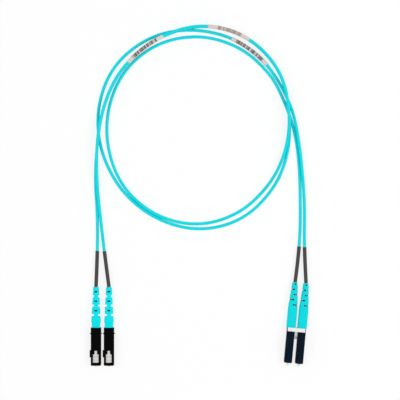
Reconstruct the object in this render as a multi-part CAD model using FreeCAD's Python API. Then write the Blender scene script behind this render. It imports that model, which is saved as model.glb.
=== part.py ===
import FreeCAD, Part
import math
import os

# Duplex fibre patch cord: two thin cables, each with a small push-pull plug on one end and a
# latched square plug on the other.  Millimetres, +Z up, lying on the plane z = 0.
# Each plug is built in its own frame: axis along Y, front face at y = 0, mating way +Y, latch up.

V = FreeCAD.Vector

# ---- cable -------------------------------------------------------------------------------------
strand_d = 1.8          # cable outside diameter
buffer_d = 0.9          # buffered fibre inside the plugs
sleeve_d = 2.1          # protective tube behind each boot
sleeve_len = 20.3
sleeve_stand = 0.2      # gap between a boot's rear face and its tube
label_d = 2.25          # rolled label round the cable
label_len = 24.6
wrap_gap = 0.03         # between the cable and what is wrapped round it
cord_sides = 6          # flats round a cable
core_sides = 8          # flats round a hidden round part
corner_flats = 2        # flats in a rounded corner

# ---- shared fits and inner parts ---------------------------------------------------------------
slip = 0.05             # radial gap of fixed fits
run_gap = 0.1           # gap of sliding fits
ferrule_d = 1.25
ferrule_chamfer = 0.15
buffer_end_gap = 0.3    # from the ferrule's rear end at full travel to the buffered fibre
ferrule_travel = 1.0
spring_wire = 0.36
spring_turns = 5
spring_steps = 6        # facets in each turn
spring_play = 0.2
barrel_d = 2.1          # crimp barrel
barrel_len = 4.4
ring_wall = 0.25        # crimp ring
ring_extra = 0.9        # how far the ring runs past the barrel
hex_af = 2.3            # ferrule holder, across flats
holder_stub_d = 1.5
holder_stub_len = 1.4
holder_grip = 1.8       # length of ferrule held in the holder

# ---- latched square plug -----------------------------------------------------------------------
lc_size = 4.5
lc_pitch = 6.25
lc_corner = 0.35
lc_front_len = 11.6
lc_rear_len = 8.4
lc_nose = 1.6           # spigot of the rear body inside the front housing
lc_nose_wall = 0.4
lc_ferrule_out = 1.6
lc_ferrule_len = 6.8
lc_mouth_d = 3.0
lc_mouth_depth = 2.7
lc_seat_wall = 0.65
lc_seat_d = 1.9
lc_bore_d = 3.3
lc_rear_bore_d = 2.9
lc_holder_len = 2.2     # hexagonal part of the holder
lc_seat_gap = 0.05
lc_spring_seat = 0.6    # spring seat behind the front housing's rear end
snap_len = 0.6
snap_w = 1.1
snap_out = 0.3

latch_t = 0.64
latch_w = 2.4
latch_root = 1.9        # hinge line behind the front face
latch_len = 8.0
latch_rise = 12.0       # degrees
lug_w = 3.5
lug_from = 3.4
lug_len = 1.5
tail_w = 3.3
tail_len = 1.6
knuckle_d = 0.84
hinge_gap = 0.05
trigger_w = 3.3
trigger_len = 8.0
pad_from = 1.2          # thumb pad behind the hinge line
pad_slope = 0.4
pad_nose = 0.3
trigger_rise = 18.8     # degrees
trigger_root = 3.1      # hinge line in front of the rear body's rear end
rib = 0.3
rib_pitch = 0.8
ribs = 4
root_block = 0.55       # block in front of each hinge knuckle

clip_len = 2.1
clip_from = 0.05        # gap between the clip and the boot
clip_plate = 0.75
clip_w = 9.9
clip_web_len = 6.2
clip_web_h = 2.6        # web between the housings, lower than the plates
clip_lip = 0.3

lc_boot_len = 25.4
lc_boot_w = 5.3
lc_boot_rear_d = 3.15
lc_boot_square = 10.9   # straight stretch at the front
lc_boot_corner = 1.3
lc_slots = 5
lc_slot_first = 12.9
lc_slot_pitch = 2.9
lc_slot_len = 0.75
lc_slot_part = 0.55     # share of the local width that a slot takes
lc_slot_web = 0.6       # left between the slots from above and below
lc_slot_recess = 0.4    # how far that web stands back from the boot's side

# ---- push-pull plug ----------------------------------------------------------------------------
mu_w = 5.7
mu_h = 4.4
mu_corner = 0.45
mu_len = 21.4
mu_wall_x = 0.4
mu_wall_z = 0.38
mu_pitch = 7.33
mu_travel = 1.5
mu_window_front = 1.75
mu_window_w = 3.25
mu_window_len = 4.75
mu_neck_w = 1.6
mu_neck_len = 2.0
mu_panel_from = 8.9
mu_panel_to = 16.4
mu_panel_w = 4.1
mu_panel_deep = 0.12
mu_groove_at = 18.0
mu_groove = 0.3
ear_out = 0.7
ear_len = 1.1
ear_h = 1.6
key_from = 4.65
key_len = 4.0
key_out = 0.7
key_h = 1.8
mu_frame_back = 0.3
mu_frame_len = 15.2
mu_mouth_d = 2.9
mu_mouth_depth = 2.4
mu_step_at = 5.2         # grooves across the frame, seen through the windows
mu_step_len = 0.5
mu_step_deep = 0.15
mu_bore_d = 2.85
mu_seat = 7.0           # ferrule holder's seat behind the front face
mu_ferrule_out = 0.6
mu_ferrule_len = 7.8
mu_nose_d = 1.6
mu_holder_len = 1.55
mu_spring_seat = 12.9
mu_tab_at = 11.3
mu_tab_len = 1.0
mu_tab_out = 0.3
mu_tab_h = 1.4

mu_boot_len = 22.8
mu_boot_w = 5.3
mu_boot_rear_d = 3.3
mu_collar_len = 3.0
mu_relief_first = 7.05
mu_relief_pitch = 2.65
mu_reliefs = 6
mu_notch_len = 1.35
mu_notch_neck = 2.25
mu_slot_w = 1.6
mu_slot_len = 0.85

# ---- how the cord lies -------------------------------------------------------------------------
mu_front = (-54.65, -23.21)     # middle of the two push-pull plugs' front faces
lc_front = (52.99, -21.85)      # middle of the two latched plugs' front faces
mu_heading = 180.0              # degrees from +Y to each pair's mating way
lc_heading = 174.8

route_a = [
    (-57.5, 40.2, 1.1), (-57.5, 61.7, 0.9), (-58.9, 81.5, 0.9), (-57.8, 100.2, 2.93), (-55.1, 119.7, 2.93),
    (-48.0, 138.5, 0.9), (-36.2, 152.7, 0.9), (-20.7, 163.0, 2.93), (-1.3, 169.0, 2.93), (19.2, 166.2, 0.9),
    (35.8, 155.9, 0.9), (47.9, 138.7, 2.93), (51.4, 115.3, 2.93), (50.2, 95.3, 0.9), (42.5, 76.4, 0.9),
    (24.6, 58.9, 0.9), (-0.2, 52.5, 0.9), (-25.0, 58.9, 0.9), (-44.8, 74.9, 0.9), (-56.2, 97.9, 0.9),
    (-58.1, 122.1, 0.9), (-49.5, 145.6, 0.9), (-30.3, 161.8, 0.9), (-8.3, 167.2, 0.9), (15.2, 163.7, 1.24),
    (33.3, 152.6, 1.29), (45.1, 138.1, 1.07), (52.2, 122.5, 0.9), (55.0, 111.0, 2.48), (57.6, 92.8, 2.93),
    (59.7, 67.4, 0.9), (59.2, 43.6, 1.1)]
route_b = [
    (-53.4, 39.1, 1.1), (-55.5, 57.7, 1.91), (-57.75, 79.2, 3.04), (-57.9, 100.2, 4.89),
    (-55.1, 119.7, 4.89), (-48.0, 138.5, 3.09), (-36.2, 152.7, 3.09), (-20.7, 163.0, 5.12),
    (-1.3, 169.0, 5.12), (19.2, 166.2, 3.09), (35.8, 155.9, 3.09), (47.9, 138.7, 4.89), (51.4, 115.3, 4.89),
    (48.6, 95.7, 2.53), (40.0, 78.3, 0.9), (22.9, 62.3, 0.9), (-0.2, 55.2, 0.9), (-24.3, 60.5, 0.9),
    (-43.1, 76.3, 0.9), (-52.3, 98.7, 0.9), (-52.05, 122.8, 0.9), (-42.1, 144.9, 0.9), (-22.5, 159.8, 0.9),
    (1.7, 163.6, 0.9), (24.4, 156.2, 0.9), (40.2, 141.4, 0.9), (47.0, 129.6, 0.9), (53.1, 112.6, 0.9),
    (56.15, 95.6, 0.9), (57.2, 73.0, 0.9), (56.9, 43.6, 1.1)]

# name: cable, distance along it from its push-pull plug to the label's start
labels = {"label_near_plug": ("b", 131.6), "label_top": ("b", 182.4), "label_far_plug": ("a", 548.0)}

# ---- sizes that follow -------------------------------------------------------------------------
half = lc_size / 2
lc_len = lc_front_len + lc_rear_len
lc_rear_end = -(lc_len + lc_boot_len)
mu_rear_end = -(mu_len + mu_boot_len)
lc_seat = lc_mouth_depth + lc_seat_wall + lc_seat_gap
knuckle_z = half + hinge_gap + knuckle_d / 2
ring_bore_af = barrel_d + 2 * slip
ring_af = ring_bore_af + 2 * ring_wall
boot_hex_af = ring_af + 2 * slip
ring_cable_bore = strand_d + 4 * slip
boot_tube_bore = sleeve_d + 2 * run_gap
buffer_bore = buffer_d + 2 * run_gap
holder_bore = buffer_d + 2 * slip
frame_w = mu_w - 2 * mu_wall_x - 2 * run_gap
frame_h = mu_h - 2 * mu_wall_z - 2 * run_gap


# ---- small shape helpers -----------------------------------------------------------------------
def block(x0, x1, y0, y1, z0, z1):
    return Part.makeBox(x1 - x0, y1 - y0, z1 - z0, V(x0, y0, z0))


def centred(width, y0, y1, z0, z1):
    return block(-width / 2, width / 2, y0, y1, z0, z1)


def rod(diameter, y0, y1):
    return Part.makeCylinder(diameter / 2, y1 - y0, V(0, y0, 0), V(0, 1, 0))


def flats(across, sides, y0, y1):
    """A prism along Y whose flats lie at the given distance across."""
    radius = across / 2 / math.cos(math.pi / sides)
    turns = [2 * math.pi * (i + 0.5) / sides for i in range(sides)]
    corners = [V(radius * math.cos(t), y0, radius * math.sin(t)) for t in turns]
    return Part.Face(Part.makePolygon(corners + corners[:1])).extrude(V(0, y1 - y0, 0))


def core(diameter, y0, y1):
    """A hidden round part, as a prism inside its diameter."""
    return flats(diameter * math.cos(math.pi / core_sides), core_sides, y0, y1)


def hollow(diameter, y0, y1):
    """A hidden round hole, as a prism outside its diameter."""
    return flats(diameter, core_sides, y0, y1)


def cross_rod(diameter, width, y, z):
    return Part.makeCylinder(diameter / 2, width, V(-width / 2, y, z), V(1, 0, 0))


def turned(points):
    """A solid of revolution about Y from (radius, y) corners."""
    corners = [V(r, y, 0) for r, y in points]
    face = Part.Face(Part.makePolygon(corners + corners[:1]))
    return face.revolve(V(0, 0, 0), V(0, 1, 0), 360)


def rounded_wire(width, height, corner, y):
    """A rounded rectangle across the plug's axis; each corner is a few flats."""
    corners = []
    for quarter, (sx, sz) in enumerate(((1, 1), (-1, 1), (-1, -1), (1, -1))):
        for i in range(corner_flats + 1):
            turn = math.radians(90 * (quarter + i / corner_flats))
            corners.append(V(sx * (width / 2 - corner) + corner * math.cos(turn), y,
                             sz * (height / 2 - corner) + corner * math.sin(turn)))
    return Part.makePolygon(corners + corners[:1])


def bar(width, height, corner, y0, y1):
    return Part.Face(rounded_wire(width, height, corner, y0)).extrude(V(0, y1 - y0, 0))


def loft(*wires):
    return Part.makeLoft(list(wires), True, True)


def side_profile(width, points):
    """An extrusion across X of (y, z) corners."""
    corners = [V(-width / 2, y, z) for y, z in points]
    return Part.Face(Part.makePolygon(corners + corners[:1])).extrude(V(width, 0, 0))


def merged(first, *others):
    return first.fuse(list(others)).removeSplitter()


# ---- inner parts that both kinds of plug have --------------------------------------------------
def ferrule(out, length):
    r = ferrule_d / 2
    c = ferrule_chamfer
    return turned([(0, out - length), (r, out - length), (r, out - c), (r - c, out), (0, out)])


def ferrule_holder(seat, nose_d, nose_len, hex_len, grip_end):
    """Holder with a hexagonal collar; its collar's front face is at -seat."""
    collar = flats(hex_af, 6, -seat - hex_len, -seat)
    nose = core(nose_d, -seat - hex_len / 2, -seat + nose_len)
    stub_end = -seat - hex_len - holder_stub_len
    stub = core(holder_stub_d, stub_end, -seat - hex_len / 2)
    body = merged(collar, nose, stub)
    body = body.cut(rod(ferrule_d, grip_end, -seat + nose_len))
    return body.cut(hollow(holder_bore, stub_end, grip_end))


def coil_spring(front, back):
    """A helical spring between two seats at y = front and y = back."""
    wire_r = spring_wire / 2
    mean_r = holder_stub_d / 2 + wire_r + spring_play
    length = front - back - spring_wire
    steps = spring_turns * spring_steps
    sections = []
    for i in range(steps + 1):
        turn = 2 * math.pi * i / spring_steps
        outward = V(math.cos(turn), 0, math.sin(turn))
        middle = outward * mean_r + V(0, back + wire_r + length * i / steps, 0)
        ring = [middle + outward * (wire_r * math.cos(math.radians(a))) + V(0, wire_r * math.sin(math.radians(a)), 0)
                for a in range(0, 360, 90)]
        sections.append(Part.makePolygon(ring + ring[:1]))
    return Part.makeLoft(sections, True, True)


def buffered_fibre(ferrule_rear, boot_rear):
    front = ferrule_rear - ferrule_travel - buffer_end_gap
    return core(buffer_d, boot_rear + sleeve_stand, front)


def crimp_ring(front):
    """Ring crimped to a hexagon over the barrel, with a hole for the cable behind it."""
    back = front - barrel_len - ring_extra
    ring = flats(ring_af, 6, back, front - slip * 4)
    ring = ring.cut(flats(ring_bore_af, 6, front - barrel_len - slip, front))
    return ring.cut(hollow(ring_cable_bore, back, front))


def inner_tube(front, boot_rear):
    """The grey tube's length inside the boot, from behind the crimp ring; the boot's slots show it."""
    ring_back = front - barrel_len - ring_extra
    tube = core(sleeve_d, boot_rear + sleeve_stand, ring_back - slip * 4)
    return tube.cut(hollow(buffer_bore, boot_rear, front))


# ---- latched square plug -----------------------------------------------------------------------
def snaps(outer, y, grow):
    """A pair of side bumps, or with grow their windows."""
    reach = outer + snap_out if not grow else lc_size / 2 + 1
    return [block(s[0], s[1], y - snap_len / 2 - grow, y + snap_len / 2 + grow,
                  -snap_w / 2 - grow, snap_w / 2 + grow)
            for s in ((-reach, -outer + snap_out), (outer - snap_out, reach))]


def hinge_block(y, away):
    """Block on the top face with a round seat for a hinge knuckle; away is +1 in front, -1 behind."""
    seat = knuckle_d + 2 * hinge_gap
    near = y + away * 0.1
    far = y + away * (seat / 2 + root_block)
    low = half - 0.3
    profile = [(near, low), (far, low), (far, half), (y + away * seat / 2, knuckle_z + knuckle_d / 3),
               (near, knuckle_z + knuckle_d / 3)]
    return side_profile(latch_w, profile).cut(cross_rod(seat, latch_w + 1, y, knuckle_z))


def lc_housing():
    shell = bar(lc_size, lc_size, lc_corner, -lc_front_len, 0)
    nose = loft(rounded_wire(lc_size - 0.8, lc_size - 0.8, lc_corner, 0.001),
                rounded_wire(lc_size, lc_size, lc_corner, -0.45),
                rounded_wire(lc_size, lc_size, lc_corner, -lc_front_len))
    shell = shell.common(nose)
    shell = merged(shell, hinge_block(-latch_root, 1))
    shell = shell.cut(rod(lc_mouth_d, -lc_mouth_depth, 1))
    shell = shell.cut(hollow(lc_seat_d, -lc_mouth_depth - lc_seat_wall, 0))
    shell = shell.cut(hollow(lc_bore_d, -lc_front_len - 1, -lc_mouth_depth - lc_seat_wall))
    socket = lc_size - 2 * lc_nose_wall + 2 * slip
    shell = shell.cut(centred(socket, -lc_front_len - 1, -lc_front_len + lc_nose + slip, -socket / 2, socket / 2))
    for window in snaps(lc_size / 2 - lc_nose_wall, -lc_front_len + lc_nose / 2, slip):
        shell = shell.cut(window)
    return shell


def lc_latch():
    """Arm, side lugs and tail, straight along -Y from the hinge line, then tilted up."""
    t = latch_t / 2
    arm = centred(latch_w, -latch_len, 0, -t, t)
    knuckle = cross_rod(knuckle_d, latch_w, 0, 0)
    lug = side_profile(lug_w, [(-lug_from - lug_len, -t), (-lug_from, -t), (-lug_from - 0.5, t),
                               (-lug_from - lug_len, t)])
    tail = centred(tail_w, -latch_len, -latch_len + tail_len, -t, t)
    latch = merged(knuckle, arm, lug, tail)
    latch.rotate(V(0, 0, 0), V(1, 0, 0), -latch_rise)
    latch.translate(V(0, -latch_root, knuckle_z))
    return latch


def lc_trigger():
    """Anti-snag lever with thumb ribs, straight along +Y from its hinge line, then tilted up."""
    t = latch_t / 2
    knuckle = cross_rod(knuckle_d, latch_w, 0, 0)
    neck = centred(latch_w, 0, trigger_len / 2, -t, t)
    pad = side_profile(trigger_w, [(pad_from, -t), (trigger_len - pad_nose, -t), (trigger_len, 0),
                                   (trigger_len, t), (pad_from + pad_slope, t)])
    lever = merged(knuckle, neck, pad)
    for i in range(ribs):
        y = trigger_len - 0.5 - i * rib_pitch
        lever = lever.fuse(centred(trigger_w - 0.4, y - rib, y, 0, t + 0.18))
    lever = lever.removeSplitter()
    lever.rotate(V(0, 0, 0), V(1, 0, 0), trigger_rise)
    lever.translate(V(0, -lc_len + trigger_root, knuckle_z))
    return lever


def lc_rear_body():
    body = bar(lc_size, lc_size, lc_corner, -lc_len, -lc_front_len)
    spigot = lc_size - 2 * lc_nose_wall
    body = merged(body, centred(spigot, -lc_front_len - 0.5, -lc_front_len + lc_nose, -spigot / 2, spigot / 2))
    for bump in snaps(spigot / 2, -lc_front_len + lc_nose / 2, 0):
        body = body.fuse(bump)
    body = merged(body, hinge_block(-lc_len + trigger_root, -1))
    back = -lc_len + clip_from
    front = back + clip_len + slip
    seat = half - clip_plate
    for side in (-1, 1):
        z0, z1 = sorted((side * seat, side * (half + 1)))
        body = body.cut(centred(lc_size + 1, -lc_len - 1, front, z0, z1))
        lip_x = clip_w / 2 - lc_pitch / 2
        for x in (-1, 1):
            x0, x1 = sorted((x * (lip_x - clip_lip - slip), x * (lip_x + slip)))
            z0, z1 = sorted((side * (seat - clip_lip), side * (seat + 1)))
            body = body.cut(block(x0, x1, -lc_len - 1, front, z0, z1))
    return body.cut(hollow(lc_rear_bore_d, -lc_len - 1, 0))


def lc_crimp_body():
    front = -lc_front_len - lc_spring_seat
    body = merged(core(lc_rear_bore_d - 2 * slip, -lc_len, front), core(barrel_d, -lc_len - barrel_len, -lc_len))
    return body.cut(hollow(buffer_bore, -lc_len - barrel_len - 1, 0))


def lc_boot():
    front = -lc_len
    rear = lc_rear_end
    width = lambda y: lc_boot_w + (lc_boot_rear_d - lc_boot_w) * (front - lc_boot_square - y) / (
        lc_boot_len - lc_boot_square)
    boot = loft(rounded_wire(lc_boot_w, lc_size, 1.1, front),
                rounded_wire(lc_boot_w, lc_size, lc_boot_corner, front - lc_boot_square),
                rounded_wire(lc_boot_rear_d, lc_boot_rear_d, lc_boot_rear_d / 2 - 0.05, rear))
    boot = boot.cut(flats(boot_hex_af, 6, front - barrel_len - ring_extra - slip, front + 1))
    boot = boot.cut(hollow(boot_tube_bore, rear - 1, front))
    for i in range(lc_slots):
        y = front - lc_slot_first - i * lc_slot_pitch
        w = width(y)
        side = 1 if i % 2 else -1
        outside = side * lc_boot_w
        x0, x1 = sorted((outside, side * (w / 2 - lc_slot_part * w)))
        for face in (-1, 1):
            z0, z1 = sorted((face * lc_slot_web / 2, face * lc_size))
            boot = boot.cut(block(x0, x1, y - lc_slot_len / 2, y + lc_slot_len / 2, z0, z1))
        x0, x1 = sorted((outside, side * (w / 2 - lc_slot_recess)))
        boot = boot.cut(block(x0, x1, y - lc_slot_len / 2, y + lc_slot_len / 2, -lc_size, lc_size))
    return boot


def lc_clip():
    """One clip for both plugs, in the frame midway between them: a web with a plate above and below."""
    back = -lc_len + clip_from
    front = back + clip_len
    web_w = lc_pitch - lc_size - 2 * slip
    clip = merged(centred(web_w, back, front, -half, half),
                  centred(web_w, back, back + clip_web_len, -clip_web_h / 2, clip_web_h / 2))
    seat = half - clip_plate + slip
    for side in (-1, 1):
        z0, z1 = sorted((side * seat, side * half))
        clip = clip.fuse(centred(clip_w, back, front, z0, z1))
        for x in (-1, 1):
            x0, x1 = sorted((x * (clip_w / 2 - clip_lip), x * clip_w / 2))
            z0, z1 = sorted((side * (seat - clip_lip + slip), side * half))
            clip = clip.fuse(block(x0, x1, back, front, z0, z1))
    return clip.removeSplitter()


def lc_plug():
    grip_end = lc_ferrule_out - lc_ferrule_len
    holder_back = lc_seat + lc_holder_len
    return {
        "housing": lc_housing(),
        "latch": lc_latch(),
        "trigger": lc_trigger(),
        "rear_body": lc_rear_body(),
        "ferrule": ferrule(lc_ferrule_out, lc_ferrule_len),
        "ferrule_holder": ferrule_holder(lc_seat, lc_seat_d - 4 * run_gap, 0, lc_holder_len, grip_end),
        "spring": coil_spring(-holder_back - slip, -lc_front_len - lc_spring_seat + slip),
        "crimp_body": lc_crimp_body(),
        "crimp_ring": crimp_ring(-lc_len),
        "buffered_fibre": buffered_fibre(grip_end, lc_rear_end),
        "inner_tube": inner_tube(-lc_len, lc_rear_end),
        "boot": lc_boot()}


# ---- push-pull plug ----------------------------------------------------------------------------
def bottle(grow):
    """The window through the wide faces: a broad part in front, a neck behind it."""
    broad_back = -mu_window_front - mu_window_len
    broad = centred(mu_window_w + 2 * grow, broad_back - grow, -mu_window_front, -mu_h, mu_h)
    neck = centred(mu_neck_w + 2 * grow, broad_back - mu_neck_len - grow, -mu_window_front, -mu_h, mu_h)
    return broad.fuse(neck)


def mu_housing():
    shell = loft(rounded_wire(mu_w - 0.7, mu_h - 0.6, mu_corner, 0),
                 rounded_wire(mu_w, mu_h, mu_corner, -0.4),
                 rounded_wire(mu_w, mu_h, mu_corner, -mu_len))
    key = block(mu_w / 2 - mu_wall_x, mu_w / 2 + key_out, -key_from - key_len, -key_from, -key_h / 2, key_h / 2)
    shell = shell.fuse(key)
    for side in (-1, 1):
        x = side * mu_w / 2
        corners = [V(x - side * mu_wall_x / 2, -mu_groove_at - ear_len / 2, -ear_h / 2),
                   V(x + side * ear_out, -mu_groove_at - ear_len / 4, -ear_h / 2),
                   V(x - side * mu_wall_x / 2, -mu_groove_at + ear_len / 2, -ear_h / 2)]
        ear = Part.Face(Part.makePolygon(corners + corners[:1])).extrude(V(0, 0, ear_h))
        shell = shell.fuse(ear)
    shell = shell.removeSplitter()
    cavity_w = frame_w + 2 * run_gap
    cavity_h = frame_h + 2 * run_gap
    shell = shell.cut(centred(cavity_w, -mu_len - 1, 1, -cavity_h / 2, cavity_h / 2))
    shell = shell.cut(bottle(0))
    for side in (-1, 1):
        z0, z1 = sorted((side * (mu_h / 2 - mu_panel_deep), side * mu_h))
        shell = shell.cut(centred(mu_panel_w, -mu_panel_to, -mu_panel_from, z0, z1))
        shell = shell.cut(centred(mu_w + 2, -mu_groove_at - mu_groove / 2, -mu_groove_at + mu_groove / 2, z0, z1)
                          .common(centred(mu_w - 2 * mu_corner, -mu_len, 0, -mu_h, mu_h)))
    slot_back = -mu_tab_at - mu_tab_len - run_gap
    slot_front = -mu_tab_at + mu_travel + run_gap
    slot_z = mu_tab_h / 2 + run_gap
    return shell.cut(centred(mu_w + 2 * key_out + 1, slot_back, slot_front, -slot_z, slot_z))


def mu_frame():
    frame = bar(frame_w, frame_h, 0.3, -mu_frame_back - mu_frame_len, -mu_frame_back)
    tab_w = frame_w + 2 * mu_tab_out
    frame = merged(frame, centred(tab_w, -mu_tab_at - mu_tab_len, -mu_tab_at, -mu_tab_h / 2, mu_tab_h / 2))
    frame = frame.cut(rod(mu_mouth_d, -mu_mouth_depth, 1))
    frame = frame.cut(hollow(mu_nose_d + 2 * run_gap, -mu_seat - 1, 0))
    for face in (-1, 1):
        z0, z1 = sorted((face * (frame_h / 2 - mu_step_deep), face * mu_h))
        frame = frame.cut(centred(mu_w, -mu_step_at - mu_step_len, -mu_step_at, z0, z1))
    return frame.cut(hollow(mu_bore_d, -mu_frame_back - mu_frame_len - 1, -mu_seat))


def mu_crimp_body():
    """Spring seat inside the frame, block behind it, and the crimp barrel."""
    joint = -mu_frame_back - mu_frame_len
    body = merged(core(mu_bore_d - 2 * slip, joint - 0.5, -mu_spring_seat),
                  bar(frame_w, frame_h, 0.3, -mu_len, joint),
                  core(barrel_d, -mu_len - barrel_len, -mu_len))
    return body.cut(hollow(buffer_bore, -mu_len - barrel_len - 1, 0))


def mu_boot():
    front = -mu_len
    collar = front - mu_collar_len
    rear = mu_rear_end
    boot = merged(bar(frame_w, frame_h, 0.5, collar - 0.2, front),
                  loft(rounded_wire(mu_boot_w, mu_h, 1.1, collar),
                       rounded_wire(mu_boot_rear_d, mu_boot_rear_d, mu_boot_rear_d / 2 - 0.05, rear)))
    boot = boot.cut(flats(boot_hex_af, 6, front - barrel_len - ring_extra - slip, front + 1))
    boot = boot.cut(hollow(boot_tube_bore, rear - 1, front))
    for i in range(mu_reliefs):
        y = front - mu_relief_first - i * mu_relief_pitch
        if i % 2:
            slot = centred(mu_slot_w, y - mu_slot_len / 2, y + mu_slot_len / 2, -mu_h, mu_h)
            boot = boot.cut(slot)
        else:
            for x0, x1 in ((-mu_w, -mu_notch_neck / 2), (mu_notch_neck / 2, mu_w)):
                boot = boot.cut(block(x0, x1, y - mu_notch_len / 2, y + mu_notch_len / 2, -mu_h, mu_h))
    return boot


def mu_plug():
    grip_end = mu_ferrule_out - mu_ferrule_len
    nose_len = mu_seat + slip + grip_end + holder_grip - slip
    holder_back = mu_seat + slip + mu_holder_len
    return {
        "housing": mu_housing(),
        "frame": mu_frame(),
        "ferrule": ferrule(mu_ferrule_out, mu_ferrule_len),
        "ferrule_holder": ferrule_holder(mu_seat + slip, mu_nose_d, nose_len, mu_holder_len, grip_end),
        "spring": coil_spring(-holder_back - slip, -mu_spring_seat + slip),
        "crimp_body": mu_crimp_body(),
        "crimp_ring": crimp_ring(-mu_len),
        "buffered_fibre": buffered_fibre(grip_end, mu_rear_end),
        "inner_tube": inner_tube(-mu_len, mu_rear_end),
        "boot": mu_boot()}


# ---- cords -------------------------------------------------------------------------------------
def cord_path(points):
    """Straight runs joined by tangent arcs; returns the edges and the arc radii."""
    p = [V(*q) for q in points]
    edges = []
    radii = []
    here = p[0]
    for i in range(1, len(p) - 1):
        back = p[i - 1] - p[i]
        ahead = p[i + 1] - p[i]
        shorter = min(back.Length, ahead.Length)
        back.normalize()
        ahead.normalize()
        turn = math.pi - back.getAngle(ahead)
        reach = 0.45 * shorter
        radius = reach / math.tan(turn / 2)
        start = p[i] + back * reach
        end = p[i] + ahead * reach
        inward = (back + ahead).normalize()
        middle = p[i] + inward * (radius / math.cos(turn / 2) - radius)
        edges.append(Part.LineSegment(here, start).toShape())
        edges.append(Part.Arc(start, middle, end).toShape())
        radii.append(radius)
        here = end
    edges.append(Part.LineSegment(here, p[-1]).toShape())
    return edges, radii


def stretch(edges, start, length):
    """The part of a path from one distance along it to another."""
    cut = []
    passed = 0.0
    for edge in edges:
        first = max(start - passed, 0.0)
        last = min(start + length - passed, edge.Length)
        if last - first > 0.001:
            u0 = edge.getParameterByLength(first)
            u1 = edge.getParameterByLength(last)
            cut.append(edge.Curve.toShape(u0, u1))
        passed += edge.Length
    return cut


def tube(edges, across):
    """A tube of cord_sides flats round a path, kept level as it goes."""
    start = edges[0].valueAt(edges[0].FirstParameter)
    way = edges[0].tangentAt(edges[0].FirstParameter)
    side = way.cross(V(0, 0, 1)).normalize()
    up = side.cross(way)
    radius = across / 2
    turns = [2 * math.pi * (i + 0.5) / cord_sides for i in range(cord_sides)]
    corners = [start + side * (radius * math.cos(t)) + up * (radius * math.sin(t)) for t in turns]
    sweep = Part.BRepOffsetAPI.MakePipeShell(Part.Wire(edges))
    sweep.setBiNormalMode(V(0, 0, 1))
    sweep.add(Part.makePolygon(corners + corners[:1]), False, False)
    sweep.build()
    sweep.makeSolid()
    return sweep.shape()


def wrap(edges, start, length, diameter):
    """A tube round the cable along one stretch of it."""
    bore = strand_d + 2 * wrap_gap / math.cos(math.pi / cord_sides)
    outer = tube(stretch(edges, start, length), diameter)
    inner = tube(stretch(edges, start - 0.2 if start > 0.2 else start, length + 0.4), bore)
    return outer.cut(inner)


# ---- the whole cord ----------------------------------------------------------------------------
def placed(shape, spot, heading, height, across):
    copy = shape.copy()
    copy.translate(V(across, 0, 0))
    copy.rotate(V(0, 0, 0), V(0, 0, 1), heading)
    copy.translate(V(spot[0], spot[1], height))
    return copy


def rear_point(spot, heading, height, across, rear_end):
    """Where a plug's cable leaves its boot."""
    point = Part.Vertex(V(0, rear_end, 0))
    return tuple(placed(point, spot, heading, height, across).Point)


def build():
    nodes = {}
    exits = {}
    for kind, plug, spot, heading, height, pitch, rear_end in (
            ("mu", mu_plug(), mu_front, mu_heading, mu_h / 2, mu_pitch, mu_rear_end),
            ("lc", lc_plug(), lc_front, lc_heading, half, lc_pitch, lc_rear_end)):
        for side, across in (("left", pitch / 2), ("right", -pitch / 2)):
            exits[kind, side] = rear_point(spot, heading, height, across, rear_end)
            for piece, shape in plug.items():
                nodes["%s_%s_%s" % (kind, side, piece)] = placed(shape, spot, heading, height, across)
    nodes["lc_clip"] = placed(lc_clip(), lc_front, lc_heading, half, 0)

    routes = {"a": [exits["mu", "left"]] + route_a + [exits["lc", "right"]],
              "b": [exits["mu", "right"]] + route_b + [exits["lc", "left"]]}
    ends = {"a": ("mu_left", "lc_right"), "b": ("mu_right", "lc_left")}
    paths = {}
    for name, points in routes.items():
        edges, radii = cord_path(points)
        paths[name] = edges
        total = sum(edge.Length for edge in edges)
        nodes["strand_" + name] = tube(edges, strand_d)
        section = cord_sides * (strand_d / 2) ** 2 * math.sin(2 * math.pi / cord_sides) / 2
        print("strand_%s: length %.1f, volume %.1f of %.1f" % (
            name, total, nodes["strand_" + name].Volume, section * total))
        print("  arc radii: " + ", ".join("%.0f" % r for r in radii))
        near, far = ends[name]
        nodes[near + "_sleeve"] = wrap(edges, sleeve_stand, sleeve_len, sleeve_d)
        nodes[far + "_sleeve"] = wrap(edges, total - sleeve_stand - sleeve_len, sleeve_len, sleeve_d)
    for name, (cable, start) in labels.items():
        nodes[name] = wrap(paths[cable], start, label_len, label_d)
    return nodes


def centre_shift(nodes):
    """What brings the middle of the plugs' box over the origin."""
    box = FreeCAD.BoundBox()
    for name, shape in nodes.items():
        if name.startswith(("mu_", "lc_")) and not name.endswith("_sleeve"):
            box.add(shape.optimalBoundingBox(False))
    return V(-box.Center.x, -box.Center.y, -box.ZMin)


def main():
    os.makedirs("parts", exist_ok=True)
    nodes = build()
    shift = centre_shift(nodes)
    print("shift %.4f %.4f %.4f" % tuple(shift))
    for name, shape in nodes.items():
        shape.translate(shift)
        shape.exportStep("parts/%s.step" % name)
    print("%d nodes" % len(nodes))


main()
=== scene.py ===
"""A duplex fibre patch cord: two cables in a coil, a pair of push-pull plugs and a pair of latched plugs."""
import math

import bmesh
import bpy
from mathutils import Matrix, Vector


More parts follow.
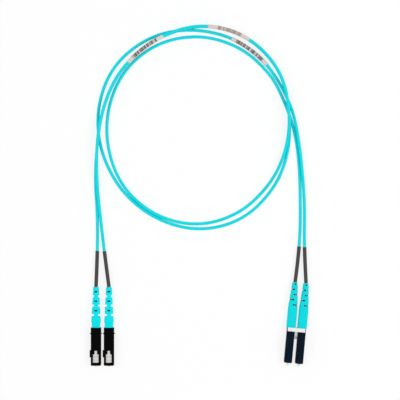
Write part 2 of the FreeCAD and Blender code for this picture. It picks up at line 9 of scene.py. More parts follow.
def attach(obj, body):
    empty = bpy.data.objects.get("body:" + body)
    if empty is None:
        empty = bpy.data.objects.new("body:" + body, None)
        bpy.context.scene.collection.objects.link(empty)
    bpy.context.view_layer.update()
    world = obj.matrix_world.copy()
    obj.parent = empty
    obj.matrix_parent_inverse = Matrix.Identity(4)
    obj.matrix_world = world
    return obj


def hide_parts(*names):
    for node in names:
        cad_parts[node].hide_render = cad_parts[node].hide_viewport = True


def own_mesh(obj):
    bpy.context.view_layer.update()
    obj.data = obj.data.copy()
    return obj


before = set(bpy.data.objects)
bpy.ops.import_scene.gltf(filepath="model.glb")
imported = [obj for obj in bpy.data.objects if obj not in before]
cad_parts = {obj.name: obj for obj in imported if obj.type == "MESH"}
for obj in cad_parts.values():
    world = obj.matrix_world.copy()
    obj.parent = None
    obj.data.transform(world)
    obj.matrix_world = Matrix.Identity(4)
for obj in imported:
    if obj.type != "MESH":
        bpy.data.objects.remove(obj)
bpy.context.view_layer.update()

MM = 0.001

# the diameters of the cable, of the grey tubes at its ends and of the labels, and how long those two are
CABLE = 1.8 * MM
SLEEVE = 2.1 * MM
SLEEVE_LENGTH = 20.3 * MM
LABEL = 2.25 * MM
LABEL_LENGTH = 24.6 * MM
# bare cable between a boot and its tube, the air inside a wrap, and the step where a label ends on itself
SLEEVE_STAND = 0.2 * MM
WRAP_GAP = 0.03 * MM
LABEL_LAP = 0.06 * MM
# a wrap's rounded ends, and how deep the middle of the rounding lies, as a share of it
WRAP_EASE = 0.12 * MM
WRAP_EASE_MIDDLE = 0.3
# the length of one ring of a wrap's faces, how many faces it has, and where the step lies, in radians
WRAP_RING = 0.9 * MM
WRAP_SIDES = 32
WRAP_TURN = -0.4
# an edge between faces that turn more than this stays sharp
SHARP = math.radians(40)

# the cables' routes from boot to boot, in millimetres
ROUTE_A = [
    (-57.5, 40.2, 1.1), (-57.5, 61.7, 0.9), (-58.9, 81.5, 0.9), (-57.8, 100.2, 2.93),
    (-55.1, 119.7, 2.93), (-48.0, 138.5, 0.9), (-36.2, 152.7, 0.9), (-20.7, 163.0, 2.93),
    (-1.3, 169.0, 2.93), (19.2, 166.2, 0.9), (35.8, 155.9, 0.9), (47.9, 138.7, 2.93), (51.4, 115.3, 2.93),
    (50.2, 95.3, 0.9), (42.5, 76.4, 0.9), (24.8, 58.6, 0.9), (-0.2, 52.3, 0.9), (-24.9, 59.0, 0.9),
    (-44.6, 75.0, 0.9), (-56.2, 97.9, 0.9), (-58.1, 122.1, 0.9), (-49.5, 145.6, 0.9), (-30.3, 161.8, 0.9),
    (-8.3, 167.2, 0.9), (15.2, 163.7, 1.24), (33.3, 152.6, 1.29), (44.8, 137.9, 1.07), (52.2, 122.5, 0.9),
    (55.0, 111.0, 2.48), (57.6, 92.8, 2.93), (59.7, 67.4, 0.9), (59.2, 43.6, 1.1)]
ROUTE_B = [
    (-53.4, 39.1, 1.1), (-55.5, 57.7, 1.91), (-57.75, 79.2, 3.04), (-57.9, 100.2, 4.89),
    (-55.1, 119.7, 4.89), (-48.0, 138.5, 3.09), (-36.2, 152.7, 3.09), (-20.7, 163.0, 5.12),
    (-1.3, 169.0, 5.12), (19.2, 166.2, 3.09), (35.8, 155.9, 3.09), (47.9, 138.7, 4.89), (51.4, 115.3, 4.89),
    (48.5, 95.8, 2.53), (39.8, 78.4, 0.9), (22.9, 62.3, 0.9), (-0.2, 55.2, 0.9), (-24.3, 60.5, 1.8),
    (-43.2, 76.3, 1.8), (-52.3, 98.7, 0.9), (-52.05, 122.8, 0.9), (-42.1, 144.9, 0.9), (-22.5, 159.8, 0.9),
    (1.7, 163.6, 0.9), (24.4, 156.2, 0.9), (40.2, 141.4, 0.9), (46.6, 129.4, 0.9), (53.1, 112.6, 0.9),
    (56.15, 95.6, 0.9), (57.2, 73.0, 0.9), (56.9, 43.6, 1.1)]
# where each cable leaves its boots
EXITS = {"mu_left": (-58.28, 21.0, 2.2), "mu_right": (-50.94, 21.0, 2.2),
         "lc_left": (54.03, 23.66, 2.25), "lc_right": (60.26, 23.09, 2.25)}
# each label's cable, and where on it the label starts, in millimetres from the push-pull plug's boot
LABEL_PLACES = {"label_near_plug": ("b", 131.6), "label_top": ("b", 182.4), "label_far_plug": ("a", 548.0)}

# each pair of plugs: the middle of its front faces, its turn in degrees, and its plugs' spacing
PAIRS = {"mu": ((-54.61, -23.20, 2.20), 180.0, 7.33), "lc": ((53.03, -21.84, 2.25), 174.8, 6.25)}
# what follows is in millimetres too, and places along a plug are negative, behind its front face

# the springs: front and rear seat, wide turns, and the share of the length that a full push leaves
SPRINGS = {"mu": (-8.65, -12.85, 4, 0.762), "lc": (-5.65, -12.15, 5, 0.846)}
# their wire, a closed turn's rise, and the radius of the turns
SPRING_WIRE = 0.36
SPRING_CLOSED = 1.04 * SPRING_WIRE
SPRING_REACH = 1.13
SPRING_WIRE_SIDES = 10
SPRING_TURN_STEPS = 18

# the front edge of the clip's plates, ahead of which only its web shows
CLIP_FRONT = -17.85

# the latched boots' slots, and half the height and half the length of the web deep in each
LC_SLOT_FIRST = -32.9
LC_SLOT_PITCH = 2.9
WEB_HALF_HEIGHT = 0.31
WEB_HALF_LENGTH = 0.38
# how far a web reaches past the boot's axis, and how far past the first slot's middle
WEB_PAST_AXIS = 0.3
WEB_PAST_FIRST = 0.5

# the boots' parting line: its height above the floor, and half its width
SEAM_HEIGHT = 2.22
SEAM_HALF_WIDTH = 0.045

# the pale frame's two moulded grooves: midway between them, how far each lies from there, half its width
GROOVES_MIDDLE = -4.05
GROOVE_AWAY = 0.85
GROOVE_HALF_WIDTH = 0.26


# ---- finishes -----------------------------------------------------------------------------------
class Value:
    """A socket that takes part in sums; each sum adds a Math node."""

    def __init__(self, finish, socket):
        self.finish = finish
        self.socket = socket

    def worked(self, operation, first, second=0.0):
        sum_node = self.finish.node("ShaderNodeMath", {"operation": operation}, {0: first, 1: second})
        return sum_node.out("Value")

    def __add__(self, other):
        return self.worked("ADD", self, other)

    def __sub__(self, other):
        return self.worked("SUBTRACT", self, other)

    def __mul__(self, other):
        return self.worked("MULTIPLY", self, other)

    def __rsub__(self, other):
        return self.worked("SUBTRACT", other, self)

    __radd__ = __add__
    __rmul__ = __mul__

    def above(self, limit):
        return self.worked("GREATER_THAN", self, limit)

    def below(self, limit):
        return self.worked("LESS_THAN", self, limit)

    def wave(self):
        return self.worked("COSINE", self)

    def size(self):
        return self.worked("ABSOLUTE", self)

    def folded(self, period):
        """Distance from the middle of each repeat, from 0 to half a period."""
        return self.worked("PINGPONG", self, period / 2)


class Made:
    """A node just made, whose sockets are read by name."""

    def __init__(self, finish, node):
        self.finish = finish
        self.made = node

    def out(self, name):
        return Value(self.finish, self.made.outputs[name])


class Finish:
    """A material on one Principled shader."""

    def __init__(self, name, colour, roughness, metallic=0.0, specular=0.5, **constants):
        self.material = bpy.data.materials.new(name)
        self.material.use_nodes = True
        self.tree = self.material.node_tree
        self.shader = self.tree.nodes["Principled BSDF"]
        for socket, value in (("Base Color", (*colour, 1)), ("Roughness", roughness),
                              ("Metallic", metallic), ("Specular IOR Level", specular),
                              *constants.items()):
            self.shader.inputs[socket.replace("_", " ")].default_value = value
        self.place = self.node("ShaderNodeTexCoord").out("Object")

    def node(self, kind, settings=None, sockets=None):
        made = self.tree.nodes.new(kind)
        for name, value in (settings or {}).items():
            if name == "stops":
                ramp = made.color_ramp
                while len(ramp.elements) < len(value):
                    ramp.elements.new(0.5)
                for element, (position, shade) in zip(ramp.elements, value):
                    element.position = position
                    element.color = (*shade, 1)
            else:
                setattr(made, name, value)
        for name, value in (sockets or {}).items():
            self.feed(made.inputs[name], value)
        return Made(self, made)

    def feed(self, socket, value):
        if isinstance(value, Value):
            self.tree.links.new(value.socket, socket)
        else:
            socket.default_value = value

    def drive(self, name, value):
        self.feed(self.shader.inputs[name], value)

    def noise(self, grain, detail=2.0, place=None):
        """Soft mottling whose spots are about grain across, in millimetres."""
        return self.node("ShaderNodeTexNoise", sockets={
            "Vector": place or self.place, "Scale": 1 / (grain * MM), "Detail": detail}).out("Fac")

    def apart(self, place=None):
        """The three parts of a place, the finish's own if none is given."""
        split = self.node("ShaderNodeSeparateXYZ", sockets={0: place or self.place})
        return split.out("X"), split.out("Y"), split.out("Z")

    def mixed(self, share, one, other):
        """One colour where share is 0, the other where it is 1."""
        sockets = {0: share, 6: one if isinstance(one, Value) else (*one, 1),
                   7: other if isinstance(other, Value) else (*other, 1)}
        made = self.node("ShaderNodeMix", {"data_type": "RGBA"})
        for index, value in sockets.items():
            self.feed(made.made.inputs[index], value)
        return Value(self, made.made.outputs[2])

    def ramp(self, value, stops):
        return self.node("ShaderNodeValToRGB", {"stops": stops}, {0: value}).out("Color")

    def seen_from(self, spot, heading):
        """Places measured in a plug's own frame, its axis along Y and its front face at 0."""
        return self.node("ShaderNodeMapping", {"vector_type": "TEXTURE"}, {
            "Vector": self.place, "Location": [c * MM for c in spot],
            "Rotation": (0, 0, math.radians(heading))}).out("Vector")

    def attribute(self, name):
        return self.node("ShaderNodeAttribute", {"attribute_name": name}).out("Fac")

    def eased(self, radius):
        """The normal with every edge rounded off."""
        return self.node("ShaderNodeBevel", {"samples": 6}, {"Radius": radius * MM}).out("Normal")

    def edge(self, eased):
        """How far a rounded-off normal turns from the flat one: 0 away from the edges."""
        flat = self.node("ShaderNodeNewGeometry").out("Normal")
        along = self.node("ShaderNodeVectorMath", {"operation": "DOT_PRODUCT"}, {0: eased, 1: flat})
        return 1 - along.out("Value")

    def bump(self, height, depth, normal=None):
        """Relief as deep as depth, in millimetres, where height is 1."""
        sockets = {"Height": height, "Strength": 1.0, "Distance": depth * MM}
        if normal is not None:
            sockets["Normal"] = normal
        self.drive("Normal", self.node("ShaderNodeBump", sockets=sockets).out("Normal"))


def tinted(colour, factor):
    """A darker or lighter shade of a colour."""
    return tuple(min(1.0, c * factor) for c in colour)


AQUA = (0.004, 0.740, 0.800)
BRIGHT_AQUA = (0.002, 0.800, 0.870)
SEA_AQUA = (0.002, 0.720, 0.770)
# painted shade for the webs deep in the latched boots' slots
PAINTED_SLOT_SHADE = (0.006, 0.030, 0.032)
SPARK_BLACK = (0.0014, 0.0011, 0.0012)
NAVY_BLACK = (0.0010, 0.0070, 0.0170)
TUBE_GREY = (0.060, 0.054, 0.054)
# the tube inside a boot is seen only through the boot's slots, so its grey is darkened to this share as
# painted shade
INNER_TUBE_PAINTED_SHADE = 0.15
MILK_WHITE = (0.90, 0.89, 0.87)
FRAME_PALE = (0.80, 0.78, 0.77)
FRAME_YELLOWED = (0.70, 0.67, 0.65)
# painted shade for the pale frame's grooves
FRAME_GROOVE_SHADE = (0.60, 0.56, 0.54)
CERAMIC = (0.82, 0.81, 0.77)
BUFFER_PALE = (0.72, 0.74, 0.72)
HOLDER_NICKEL = (0.60, 0.60, 0.58)
SPRING_STEEL = (0.55, 0.56, 0.57)
RING_NICKEL = (0.62, 0.60, 0.56)
FILM = (0.73, 0.67, 0.645)
BUFF_FILM = (0.75, 0.63, 0.57)
INK = (0.050, 0.036, 0.032)

# where on an edge the rubbed finish starts, on rubber and on hard plastic
RUBBED_RUBBER = 0.06
RUBBED_PLASTIC = 0.05

# the labels' bars: how the broad ones' pattern turns to ink, and their share of it; then how many thin
# ones there are to a broad one, and the level that they print above
BROAD_STOPS = [(0.41, (0, 0, 0)), (0.45, (0.6, 0.6, 0.6)), (0.51, (1, 1, 1))]
BROAD_SHARE = 0.65
THIN_TO_BROAD = 4.5
THIN_LEVEL = 0.44
# how much of the way round a label the painted shade along its outer edge takes
LAP_SHADE_SHARE = 0.05


def jacket():
    """Extruded cable jacket: smooth and satin, with faint clouding and scuffs."""
    f = Finish("cable_jacket_aqua", AQUA, 0.42, specular=0.10)
    cloud = f.noise(9.0, 3.0)
    fine = f.noise(0.35, 4.0)
    f.drive("Base Color", f.mixed(cloud, tinted(AQUA, 0.90), tinted(AQUA, 1.10)))
    f.drive("Roughness", 0.30 + 0.26 * fine)
    f.bump(fine, 0.012)
    return f.material


def slot_web_shade_mask(f):
    """Where painted shade darkens the webs deep in the latched boots' slots, which turn left and right by
    turns.
    """
    front, heading, pitch = PAIRS["lc"]
    x, y, z = f.apart(f.seen_from(front, heading))
    step = y - LC_SLOT_FIRST * MM
    off_axis = f.node("ShaderNodeMath", {"operation": "WRAP"}, {
        0: x - pitch / 2 * MM, 1: pitch / 2 * MM, 2: -pitch / 2 * MM}).out("Value")
    side = (step * (math.pi / (LC_SLOT_PITCH * MM))).wave()
    deep = z.size().below(WEB_HALF_HEIGHT * MM)
    deep = deep * step.folded(LC_SLOT_PITCH * MM).below(WEB_HALF_LENGTH * MM)
    return deep * (off_axis * side).below(WEB_PAST_AXIS * MM) * step.below(WEB_PAST_FIRST * MM)


def boot_rubber(name, shade, slotted):
    """Moulded elastomer with a parting line at mid-height and a fine matt grain; slotted boots get painted
    shade deep in their slots.
    """
    f = Finish(name, shade, 0.5, specular=0.07)
    cloud = f.noise(3.0, 2.0)
    grain = f.noise(0.09, 3.0)
    up = f.apart()[2]
    seam = (up - SEAM_HEIGHT * MM).size().below(SEAM_HALF_WIDTH * MM)
    soft = f.eased(0.16)
    rubbed = f.edge(soft).above(RUBBED_RUBBER)
    clouded = f.mixed(cloud, tinted(shade, 0.93), tinted(shade, 1.07))
    moulded = f.mixed(seam, f.mixed(rubbed, clouded, tinted(shade, 1.12)), tinted(shade, 0.82))
    # deep in the latched boots' slots the colour turns to painted shade
    f.drive("Base Color", f.mixed(slot_web_shade_mask(f), moulded, PAINTED_SLOT_SHADE) if slotted else moulded)
    f.drive("Roughness", 0.40 + 0.25 * grain)
    f.bump(grain * 0.35 + seam, 0.03, soft)
    return f.material


def tube_grey(name, shade, specular):
    """Shrunk protective tube: dark grey, faintly ribbed along its length."""
    f = Finish(name, shade, 0.5, specular=specular)
    once_round = 4.0 * MM
    ribs = f.node("ShaderNodeCombineXYZ", sockets={0: f.attribute("around") * once_round}).out("Vector")
    streak = f.noise(0.05, 2.0, ribs)
    fine = f.noise(0.2, 3.0)
    f.drive("Base Color", f.mixed(streak * 0.5 + fine * 0.5, tinted(shade, 0.80), tinted(shade, 1.25)))
    f.drive("Roughness", 0.38 + 0.3 * fine)
    f.bump(streak * 0.6 + fine * 0.4, 0.02)
    return f.material


def spark_plastic():
    """Black shell with a spark-eroded matt grain, rubbed smooth along its edges."""
    f = Finish("push_pull_shell_black", SPARK_BLACK, 0.55, specular=0.04)
    grain = f.noise(0.07, 4.0)
    soft = f.eased(0.12)
    rubbed = f.edge(soft).above(RUBBED_PLASTIC)
    grained = f.mixed(grain, tinted(SPARK_BLACK, 0.7), tinted(SPARK_BLACK, 1.4))
    f.drive("Base Color", f.mixed(rubbed, grained, tinted(SPARK_BLACK, 2.6)))
    f.drive("Roughness", 0.50 + 0.25 * grain - 0.2 * rubbed)
    f.bump(grain, 0.014, soft)
    return f.material


def navy_plastic():
    """Glossier blue-black shell, with flow marks and rubbed edges."""
    f = Finish("latched_shell_navy", NAVY_BLACK, 0.34, specular=0.07)
    flow = f.noise(2.2, 3.0)
    grain = f.noise(0.10, 3.0)
    soft = f.eased(0.12)
    rubbed = f.edge(soft).above(RUBBED_PLASTIC)
    marked = f.mixed(flow, tinted(NAVY_BLACK, 0.8), tinted(NAVY_BLACK, 1.3))
    f.drive("Base Color", f.mixed(rubbed, marked, tinted(NAVY_BLACK, 2.2)))
    f.drive("Roughness", 0.26 + 0.22 * flow)
    f.bump(grain, 0.006, soft)
    return f.material


def clip_plastic():
    """Milky translucent clip, with painted shade that makes its thin web, between the two housings, greyer
    than its plates.
    """
    f = Finish("clip_milk_white", MILK_WHITE, 0.38, specular=0.4,
               Subsurface_Weight=0.15, Subsurface_Scale=1.0 * MM)
    cloud = f.noise(1.6, 2.0)
    front, heading, _ = PAIRS["lc"]
    web = f.apart(f.seen_from(front, heading))[1].above(CLIP_FRONT * MM)
    plate = f.mixed(cloud, tinted(MILK_WHITE, 0.94), tinted(MILK_WHITE, 1.03))
    # painted shade on the clip's web, between the housings
    f.drive("Base Color", f.mixed(web, plate, tinted(MILK_WHITE, 0.92)))
    f.drive("Roughness", 0.30 + 0.2 * cloud)
    f.bump(cloud, 0.01, f.eased(0.10))
    return f.material


def frame_plastic():
    """Pale inner frame, satin, slightly yellowed in clouds, with painted shade in its moulded grooves."""
    f = Finish("plug_frame_pale", FRAME_PALE, 0.45, specular=0.35)
    cloud = f.noise(1.2, 3.0)
    front, heading, _ = PAIRS["mu"]
    y = f.apart(f.seen_from(front, heading))[1]
    from_groove = (y - GROOVES_MIDDLE * MM).size() - GROOVE_AWAY * MM
    groove_shade = from_groove.size().below(GROOVE_HALF_WIDTH * MM)
    # the grooves get painted shade
    f.drive("Base Color", f.mixed(groove_shade, f.mixed(cloud, FRAME_PALE, FRAME_YELLOWED), FRAME_GROOVE_SHADE))
    f.drive("Roughness", 0.36 + 0.2 * cloud)
    f.bump(cloud, 0.008, f.eased(0.08))
    return f.material


def ceramic():
    """Ground zirconia: off-white and lightly polished, with grinding marks round it."""
    f = Finish("ferrule_zirconia", CERAMIC, 0.14, specular=0.6, Coat_Roughness=0.08)
    cloud = f.noise(0.5, 2.0)
    marks = f.noise(0.03, 1.0)
    f.drive("Base Color", f.mixed(cloud, tinted(CERAMIC, 0.95), tinted(CERAMIC, 1.04)))
    f.drive("Roughness", 0.10 + 0.14 * marks)
    f.drive("Coat Weight", 0.2 + 0.3 * cloud)
    f.bump(marks, 0.003, f.eased(0.05))
    return f.material


def turned_metal(name, colour, roughness, grain):
    """Nickel-coloured metal with fine turning marks along Y."""
    f = Finish(name, colour, roughness, metallic=1.0)
    y = f.apart()[1]
    rings = f.node("ShaderNodeTexNoise", {"noise_dimensions": "1D"},
                   {"W": y * (1 / (grain * MM)), "Scale": 1.0, "Detail": 2.0}).out("Fac")
    dull = f.noise(0.7, 3.0)
    f.drive("Base Color", f.mixed(dull, tinted(colour, 0.85), tinted(colour, 1.06)))
    f.drive("Roughness", roughness * 0.7 + roughness * 0.8 * rings)
    f.bump(rings, 0.004, f.eased(0.06))
    return f.material


def buffer_coat():
    """Tight-buffered fibre: pale and slightly shiny."""
    f = Finish("fibre_buffer_pale", BUFFER_PALE, 0.3, specular=0.4)
    cloud = f.noise(1.0, 2.0)
    f.drive("Base Color", f.mixed(cloud, tinted(BUFFER_PALE, 0.95), tinted(BUFFER_PALE, 1.05)))
    f.drive("Roughness", 0.24 + 0.2 * cloud)
    f.bump(cloud, 0.004)
    return f.material


def label_film(name, paper, strength, first, last, bars, seed):
    """Laminated film wrapped round the cable; plain bars of varied width between bare ends.

    The bars run from first to last, as shares of the label's length, and print up to strength."""
    f = Finish(name, paper, 0.3, specular=0.35, Coat_Roughness=0.12)
    along = f.attribute("along")
    around = f.attribute("around")

    def stripes(repeats, detail):
        return f.node("ShaderNodeTexNoise", {"noise_dimensions": "1D"}, {
            "W": along * repeats + seed, "Scale": 1.0, "Detail": detail, "Roughness": 0.7}).out("Fac")

    broad = f.node("ShaderNodeRGBToBW", sockets={0: f.ramp(stripes(bars, 2.0), BROAD_STOPS)}).out("Val")
    thin = stripes(bars * THIN_TO_BROAD, 0.0).above(THIN_LEVEL)
    printed = broad * BROAD_SHARE + thin * (1 - BROAD_SHARE)
    share = printed * (along.above(first) * along.below(last)) * strength
    # painted shade along the outer edge of the label's lap
    lap = around.below(LAP_SHADE_SHARE)
    speck = f.noise(0.25, 3.0)
    sheet = f.mixed(speck, tinted(paper, 0.95), tinted(paper, 1.04))
    f.drive("Base Color", f.mixed(share, f.mixed(lap, sheet, tinted(paper, 0.8)), INK))
    f.drive("Roughness", 0.24 + 0.2 * speck)
    f.drive("Coat Weight", 0.25 + 0.3 * speck)
    f.bump(speck * 0.4 + share * 0.1, 0.01)
    return f.material


# ---- cables and what is wrapped round them -----------------------------------------------------
class Line:
    """A cable's centre line, read from its curve before that gets its thickness."""

    def __init__(self, cable):
        mesh = bpy.data.meshes.new_from_object(cable)
        self.points = [v.co.copy() for v in mesh.vertices]
        bpy.data.meshes.remove(mesh)
        self.passed = [0.0]
        for here, there in zip(self.points, self.points[1:]):
            self.passed.append(self.passed[-1] + (there - here).length)

    def at(self, distance):
        """The place at a distance from the first end, and the way that the cable runs there."""
        i = 1
        while i < len(self.passed) - 1 and self.passed[i] < distance:
            i += 1
        here, there = self.points[i - 1], self.points[i]
        share = (distance - self.passed[i - 1]) / (self.passed[i] - self.passed[i - 1])
        return here.lerp(there, share), (there - here).normalized()


def cable(name, first, route, last, finish):
    """A cable from its first exit along its route to its last exit, and its centre line."""
    curve = bpy.data.curves.new(name, "CURVE")
    curve.dimensions = "3D"
    spline = curve.splines.new("NURBS")
    places = [first, *route, last]
    spline.points.add(len(places) - 1)
    for point, place in zip(spline.points, places):
        point.co = (place[0] * MM, place[1] * MM, place[2] * MM, 1)
    spline.order_u = 3
    spline.use_endpoint_u = True
    curve.resolution_u = 14
    made = bpy.data.objects.new(name, curve)
    bpy.context.scene.collection.objects.link(made)
    line = Line(made)
    curve.bevel_depth = CABLE / 2
    curve.bevel_resolution = 6
    curve.use_fill_caps = True
    curve.materials.append(finish)
    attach(made, "cord")
    return made, line


def wrapped(name, node, line, start, length, across, lap, finish):
    """A closed tube round the cable from start on; with a lap its outer layer ends in a step."""
    inner = CABLE / 2 + WRAP_GAP
    outer = across / 2
    eased = WRAP_EASE * WRAP_EASE_MIDDLE
    steps = round(length / WRAP_RING)
    stations = [(0.0, inner), (0.0, outer - WRAP_EASE), (eased, outer - eased)]
    stations += [(WRAP_EASE + (length - 2 * WRAP_EASE) * i / steps, outer) for i in range(steps + 1)]
    stations += [(length - eased, outer - eased), (length, outer - WRAP_EASE), (length, inner)]
    stations += [(length * i / steps, inner) for i in range(steps - 1, 0, -1)]

    mesh = bmesh.new()
    around = mesh.verts.layers.float.new("around")
    along = mesh.verts.layers.float.new("along")
    ring = bmesh.ops.create_circle(mesh, segments=WRAP_SIDES, radius=outer)["verts"]
    for vert in ring:
        vert[around] = (math.atan2(vert.co.y, vert.co.x) / (2 * math.pi)) % 1.0

    def settle(verts, distance, radius):
        middle, way = line.at(start + distance)
        side = way.cross(Vector((0, 0, 1))).normalized()
        up = side.cross(way)
        for vert in verts:
            turn = 2 * math.pi * vert[around] + WRAP_TURN
            reach = radius - (lap * vert[around] if radius > inner else 0.0)
            vert.co = middle + (side * math.cos(turn) + up * math.sin(turn)) * reach
            vert[along] = distance / length

    edges = list(mesh.edges)
    first_ring = edges
    settle(ring, *stations[0])
    for distance, radius in stations[1:]:
        grown = bmesh.ops.extrude_edge_only(mesh, edges=edges)["geom"]
        edges = [e for e in grown if isinstance(e, bmesh.types.BMEdge) and e.is_boundary]
        edges = [e for e in edges if all(v in grown for v in e.verts)]
        settle([v for v in grown if isinstance(v, bmesh.types.BMVert)], distance, radius)
    bmesh.ops.bridge_loops(mesh, edges=edges + first_ring)
    return finished(name, mesh, node, finish)


def finished(name, mesh, node, finish):
    """The mesh as a piece that stands for a node, smooth except over its sharp edges."""
    bmesh.ops.recalc_face_normals(mesh, faces=mesh.faces[:])
    for face in mesh.faces:
        face.smooth = True
    for edge in mesh.edges:
        edge.smooth = edge.calc_face_angle(0.0) < SHARP
    data = bpy.data.meshes.new(name)
    mesh.to_mesh(data)
    mesh.free()
    data.materials.append(finish)
    made = bpy.data.objects.new(name, data)
    bpy.context.scene.collection.objects.link(made)
    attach(made, "cord")
    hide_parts(node)
    return made


def paint(node, finish):
    """Gives a solid of the frame its finish."""
    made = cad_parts[node]
    made.data.materials.clear()
    made.data.materials.append(finish)


# ---- ferrule springs ---------------------------------------------------------------------------
def plug_place(kind, side):
    """From a plug's own frame, its axis along Y and its front face at 0, to where it lies."""
    front, heading, pitch = PAIRS[kind]
    across = pitch / 2 if side == "left" else -pitch / 2
    turned = Matrix.Rotation(math.radians(heading), 4, "Z")
    return Matrix.Translation(Vector(front) * MM) @ turned @ Matrix.Translation((across * MM, 0, 0))


def ferrule_spring(kind, side, finish):
    """A coil of round wire with a closed turn at each end."""
    front, back, wide_turns, keep = SPRINGS[kind]
    start = back + SPRING_WIRE / 2
    mesh = bmesh.new()
    bmesh.ops.create_circle(mesh, cap_ends=True, segments=SPRING_WIRE_SIDES, radius=SPRING_WIRE / 2 * MM,
                            matrix=Matrix.Translation((SPRING_REACH * MM, start * MM, 0)))
    end = mesh.verts[:] + mesh.edges[:] + mesh.faces[:]
    wide_rise = front - back - SPRING_WIRE - 2 * SPRING_CLOSED
    for turns, rise in ((1, SPRING_CLOSED), (wide_turns, wide_rise), (1, SPRING_CLOSED)):
        steps = turns * SPRING_TURN_STEPS
        grown = bmesh.ops.spin(mesh, geom=end, axis=(0, 1, 0), cent=(0, 0, 0), angle=2 * math.pi * turns,
                               dvec=(0, rise * MM / steps, 0), steps=steps, use_merge=False)
        end = grown["geom_last"]
    place = plug_place(kind, side)
    bmesh.ops.transform(mesh, matrix=place, verts=mesh.verts[:])
    name = "%s_%s" % (kind, side)
    made = finished(name + "_coil_spring", mesh, name + "_spring", finish)
    name + "_ferrule_push"
    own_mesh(made)


# ---- the whole cord ----------------------------------------------------------------------------
def dress_plugs():
    """The finishes of the plugs' pieces, and the spring in each plug."""
    boots = {"lc": boot_rubber("boot_rubber_sea_aqua", SEA_AQUA, True),
             "mu": boot_rubber("boot_rubber_bright_aqua", BRIGHT_AQUA, False)}
    white = ceramic()
    holder = turned_metal("holder_nickel", HOLDER_NICKEL, 0.28, 0.05)
    wire = turned_metal("spring_steel", SPRING_STEEL, 0.25, 0.04)
    ring = turned_metal("crimp_ring_nickel", RING_NICKEL, 0.32, 0.08)
    buffer = buffer_coat()
    # the grey tube inside each boot, darkened as painted shade
    inner = tube_grey("inner_tube_painted_shade", tinted(TUBE_GREY, INNER_TUBE_PAINTED_SHADE), 0.05)
    navy = navy_plastic()
    finishes = {
        "lc": {"housing": navy, "latch": navy, "trigger": navy, "rear_body": navy},
        "mu": {"housing": spark_plastic(), "frame": frame_plastic()}}
    shared = {"ferrule": white, "ferrule_holder": holder, "crimp_body": holder, "crimp_ring": ring,
              "buffered_fibre": buffer, "inner_tube": inner}
    for kind, own in finishes.items():
        for side in ("left", "right"):
            for piece, finish in {**shared, **own, "boot": boots[kind]}.items():
                paint("%s_%s_%s" % (kind, side, piece), finish)
            ferrule_spring(kind, side, wire)
    paint("lc_clip", clip_plastic())


def lay_cables():
    """Both cables from plug to plug, with the grey tubes and the labels round them."""
    aqua = jacket()
    grey = tube_grey("sleeve_tube_grey", TUBE_GREY, 0.2)
    ends = {"a": ("mu_left", ROUTE_A, "lc_right"), "b": ("mu_right", ROUTE_B, "lc_left")}
    films = {
        "label_near_plug": label_film("label_near_plug_film", FILM, strength=0.92,
                                      first=0.14, last=0.83, bars=15.0, seed=3.0),
        "label_top": label_film("label_top_film", BUFF_FILM, strength=0.62,
                                first=0.22, last=0.79, bars=17.0, seed=11.0),
        "label_far_plug": label_film("label_far_plug_film", FILM, strength=0.88,
                                     first=0.11, last=0.86, bars=15.0, seed=7.0)}
    for key, (near, route, far) in ends.items():
        run, line = cable("cable_" + key, EXITS[near], route, EXITS[far], aqua)
        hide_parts("strand_" + key)
        total = line.passed[-1]
        for end, start in ((near, SLEEVE_STAND), (far, total - SLEEVE_STAND - SLEEVE_LENGTH)):
            wrapped(end + "_grey_tube", end + "_sleeve", line, start, SLEEVE_LENGTH,
                                 SLEEVE, 0.0, grey)
        for name, (cable_key, start) in LABEL_PLACES.items():
            if cable_key == key:
                wrapped(name + "_wrap", name, line, start * MM, LABEL_LENGTH,
                                     LABEL, LABEL_LAP, films[name])


# the floor under the coil: half its width, its middle, and how little it lies below what rests on it
FLOOR_HALF = 1.5
FLOOR_MIDDLE = (0, 0.07, 0)
FLOOR_DROP = 0.02 * MM
FLOOR_WHITE = (0.985, 0.985, 0.985)
# how much of its whiteness the floor sends to the camera by itself; the rest shows the shadows
FLOOR_GLOW = 0.8
SKY_STRENGTH = 0.60
# two soft boxes over the coil, a wide way out to each side: their sizes and places, and each one's power
BOX_SIZE = 0.5
BOX_OUT = 0.75
BOX_ALONG = 0.10
BOX_UP = 0.95
BOXES = (("soft_box_right", BOX_OUT, 4.9), ("soft_box_left", -BOX_OUT, 2.7))


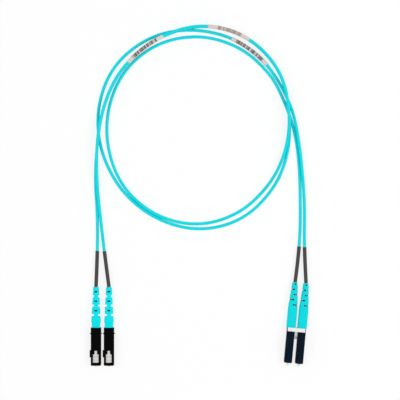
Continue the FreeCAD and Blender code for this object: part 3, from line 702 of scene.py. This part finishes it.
def floor_and_light():
    """A white floor that still shows shadows, an even sky, and a stronger box on the right."""
    f = Finish("studio_floor", FLOOR_WHITE, 0.7, specular=0.02)
    rays = f.node("ShaderNodeLightPath")
    seen = rays.out("Is Camera Ray") + rays.out("Is Glossy Ray") + rays.out("Is Transmission Ray")
    glow = f.node("ShaderNodeEmission", sockets={"Color": (1, 1, 1, 1), "Strength": 1.0}).out("Emission")
    both = f.node("ShaderNodeMixShader", sockets={
        0: seen * FLOOR_GLOW, 1: Value(f, f.shader.outputs["BSDF"]), 2: glow}).out("Shader")
    f.feed(f.tree.nodes["Material Output"].inputs["Surface"], both)
    mesh = bmesh.new()
    bmesh.ops.create_grid(mesh, x_segments=1, y_segments=1, size=FLOOR_HALF)
    bmesh.ops.translate(mesh, verts=mesh.verts[:], vec=Vector(FLOOR_MIDDLE) - Vector((0, 0, FLOOR_DROP)))
    data = bpy.data.meshes.new("studio_floor")
    mesh.to_mesh(data)
    mesh.free()
    data.materials.append(f.material)
    floor = bpy.data.objects.new("studio_floor", data)
    bpy.context.scene.collection.objects.link(floor)

    world = bpy.data.worlds.new("studio")
    world.use_nodes = True
    bpy.context.scene.world = world
    sky = world.node_tree.nodes["Background"]
    sky.inputs["Color"].default_value = (1, 1, 1, 1)
    sky.inputs["Strength"].default_value = SKY_STRENGTH

    for name, x, power in BOXES:
        lamp = bpy.data.lights.new(name, "AREA")
        lamp.shape = "SQUARE"
        lamp.size = BOX_SIZE
        lamp.energy = power
        box = bpy.data.objects.new(name, lamp)
        box.location = (x, BOX_ALONG, BOX_UP)
        aim = Vector(FLOOR_MIDDLE) - box.location
        box.rotation_euler = aim.to_track_quat("-Z", "Y").to_euler()
        bpy.context.scene.collection.objects.link(box)


# what the camera takes in at the floor's height: its middle and its width
VIEW_MIDDLE = (0.40 * MM, 70.2 * MM)
VIEW_WIDTH = 226.24 * MM
LONG_LENS = 150
SENSOR = 36


def camera():
    """Straight down on the coil, from far enough that the plugs' sides hardly show."""
    lens = bpy.data.cameras.new("camera")
    lens.lens = LONG_LENS
    lens.sensor_width = SENSOR
    eye = bpy.data.objects.new("camera", lens)
    eye.location = (*VIEW_MIDDLE, VIEW_WIDTH * LONG_LENS / SENSOR)
    lens.clip_start = 0.01
    lens.clip_end = 10
    bpy.context.scene.collection.objects.link(eye)
    bpy.context.scene.camera = eye


dress_plugs()
lay_cables()
floor_and_light()
camera()
bpy.context.scene.view_settings.view_transform = "Standard"
